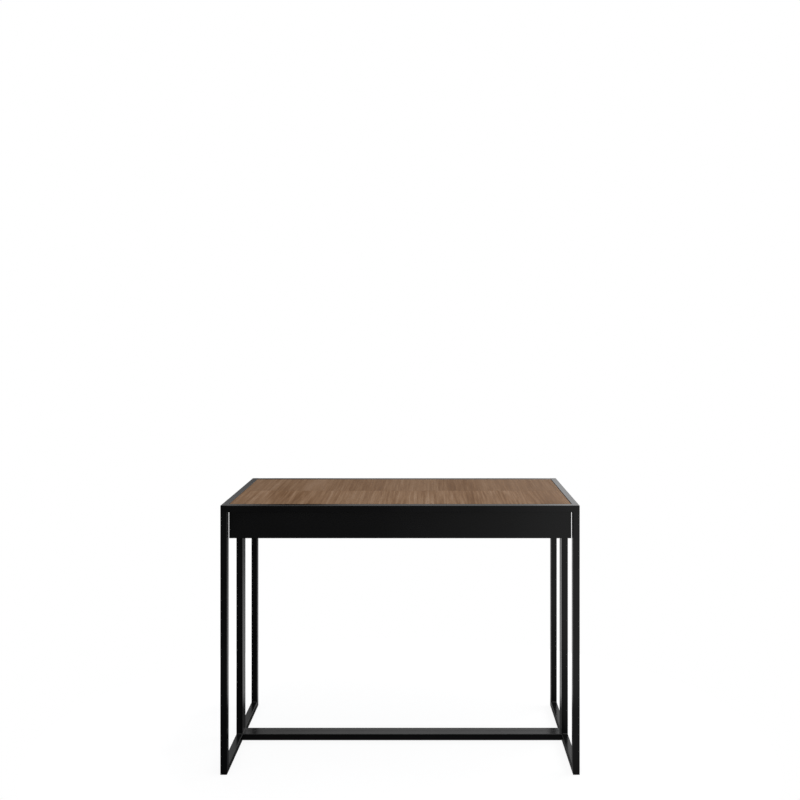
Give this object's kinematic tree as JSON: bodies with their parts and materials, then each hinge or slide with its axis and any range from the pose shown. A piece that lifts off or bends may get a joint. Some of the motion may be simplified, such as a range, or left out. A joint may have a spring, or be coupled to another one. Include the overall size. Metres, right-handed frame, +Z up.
{
  "type": "writing desk",
  "caption": "Narrow writing desk with black square-tube side loops, a walnut top inset in a flush steel rim and a full-width handleless drawer.",
  "frame": {"origin": "on the floor under the middle of the desk, at the bottom centre of its box", "axes": "+X to the right along the width, +Y to the back, +Z up; the drawer front faces -Y"},
  "size_m": [1, 0.4, 0.75],
  "materials": {
    "black_frame": "satin black powder coat on steel tube",
    "walnut_top": "matt walnut laminate, straight grain from front to back",
    "black_board": "satin black lacquered board",
    "drawer_box": "graphite melamine board",
    "drawer_bottom": "graphite hardboard, lightly textured",
    "slide_steel": "zinc-plated pressed steel",
    "ball_steel": "polished steel balls in a plated cage",
    "screw_steel": "bright zinc plating",
    "black_screws": "black oxide on steel",
    "black_plastic": "matt black moulded plastic"
  },
  "bodies": {
    "desk": {"front_left_post": "black_frame", "mid_front_left_post": "black_frame", "mid_rear_left_post": "black_frame", "rear_left_post": "black_frame", "front_right_post": "black_frame", "mid_front_right_post": "black_frame", "mid_rear_right_post": "black_frame", "rear_right_post": "black_frame", "front_left_runner": "black_frame", "rear_left_runner": "black_frame", "front_right_runner": "black_frame", "rear_right_runner": "black_frame", "front_left_side_rail": "black_frame", "rear_left_side_rail": "black_frame", "front_right_side_rail": "black_frame", "rear_right_side_rail": "black_frame", "front_rail": "black_frame", "rear_rail": "black_frame", "front_stretcher": "black_frame", "rear_stretcher": "black_frame", "top_tabs": "black_frame", "front_top_leaf": "walnut_top", "rear_top_leaf": "walnut_top", "left_case_side": "black_board", "right_case_side": "black_board", "case_back": "black_board", "left_slide_outer": "slide_steel", "right_slide_outer": "slide_steel", "case_brackets": "slide_steel", "joining_plates": "slide_steel", "tab_screws": "screw_steel", "joining_plate_screws": "screw_steel", "bracket_screws": "screw_steel", "case_slide_screws": "screw_steel", "case_screws": "black_screws", "floor_glides": "black_plastic", "bumper_pads": "black_plastic"},
    "drawer": {"drawer_front": "black_board", "drawer_inner_front": "drawer_box", "drawer_left_side": "drawer_box", "drawer_right_side": "drawer_box", "drawer_back": "drawer_box", "drawer_bottom": "drawer_bottom", "drawer_box_screws": "screw_steel", "drawer_front_screws": "screw_steel", "box_slide_screws": "screw_steel", "left_slide_inner": "slide_steel", "right_slide_inner": "slide_steel"},
    "left_slide_middle": {"left_slide_middle": "slide_steel"},
    "right_slide_middle": {"right_slide_middle": "slide_steel"},
    "left_outer_cage": {"left_outer_ball_cage": "ball_steel"},
    "left_inner_cage": {"left_inner_ball_cage": "ball_steel"},
    "right_outer_cage": {"right_outer_ball_cage": "ball_steel"},
    "right_inner_cage": {"right_inner_ball_cage": "ball_steel"}
  },
  "joints": [
    {"name": "drawer_slide", "type": "slide", "parent": "desk", "child": "drawer", "axis": [0, -1, 0], "range_m": [0, 0.28]},
    {"name": "left_middle_slide", "type": "slide", "parent": "desk", "child": "left_slide_middle", "axis": [0, -1, 0], "range_m": [0, 0.14]},
    {"name": "left_outer_cage_roll", "type": "slide", "parent": "desk", "child": "left_outer_cage", "axis": [0, -1, 0], "range_m": [0, 0.07]},
    {"name": "left_inner_cage_roll", "type": "slide", "parent": "desk", "child": "left_inner_cage", "axis": [0, -1, 0], "range_m": [0, 0.21]},
    {"name": "right_middle_slide", "type": "slide", "parent": "desk", "child": "right_slide_middle", "axis": [0, -1, 0], "range_m": [0, 0.14]},
    {"name": "right_outer_cage_roll", "type": "slide", "parent": "desk", "child": "right_outer_cage", "axis": [0, -1, 0], "range_m": [0, 0.07]},
    {"name": "right_inner_cage_roll", "type": "slide", "parent": "desk", "child": "right_inner_cage", "axis": [0, -1, 0], "range_m": [0, 0.21]}
  ],
  "couplings": [
    {"joint": "left_middle_slide", "follows": "drawer_slide", "ratio": 0.5},
    {"joint": "left_outer_cage_roll", "follows": "drawer_slide", "ratio": 0.25},
    {"joint": "left_inner_cage_roll", "follows": "drawer_slide", "ratio": 0.75},
    {"joint": "right_middle_slide", "follows": "drawer_slide", "ratio": 0.5},
    {"joint": "right_outer_cage_roll", "follows": "drawer_slide", "ratio": 0.25},
    {"joint": "right_inner_cage_roll", "follows": "drawer_slide", "ratio": 0.75}
  ]
}
